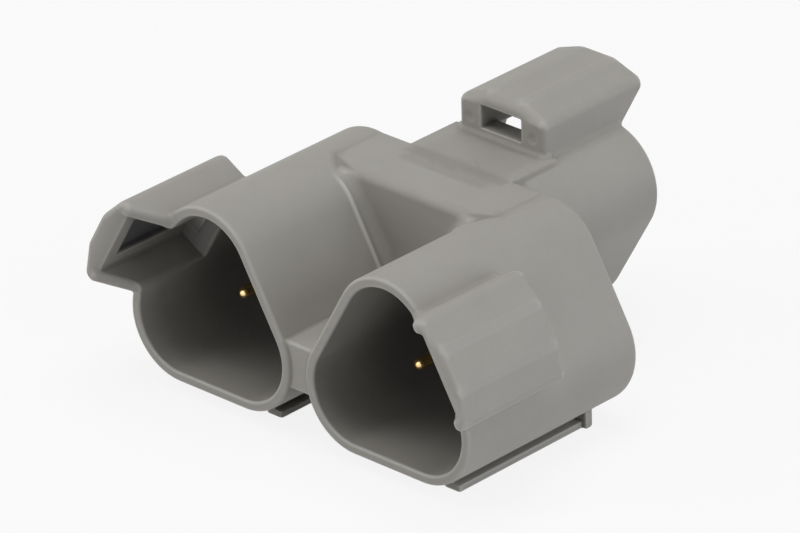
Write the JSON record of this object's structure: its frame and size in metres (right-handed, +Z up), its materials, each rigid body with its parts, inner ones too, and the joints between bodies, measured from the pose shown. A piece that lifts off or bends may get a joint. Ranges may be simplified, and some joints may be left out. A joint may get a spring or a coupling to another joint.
{
  "type": "sealed y-splitter connector",
  "caption": "Sealed automotive branch connector: grey moulded housing with rounded-triangle latching receptacles at both ends, gold contact pins and clip rails underneath.",
  "frame": {"origin": "centre of the bounding box's bottom, on the plane of the clip rails' lips", "axes": "+X across the front receptacles, +Y from the front mouths to the rear one, +Z up, away from the clip rails"},
  "size_m": [0.0612, 0.0579, 0.0317],
  "materials": {
    "grey_plastic": "matte, finely textured moulding",
    "gold_contact": "gold plate",
    "copper_bar": "bare rolled strip"
  },
  "bodies": {
    "root": {"housing": "grey_plastic", "pin_left_a": "gold_contact", "pin_left_b": "gold_contact", "pin_left_c": "gold_contact", "pin_right_a": "gold_contact", "pin_right_b": "gold_contact", "pin_right_c": "gold_contact", "pin_rear_a": "gold_contact", "pin_rear_b": "gold_contact", "pin_rear_c": "gold_contact", "bus_bar_a": "copper_bar", "bus_bar_b": "copper_bar", "bus_bar_c": "copper_bar"}
  },
  "joints": []
}
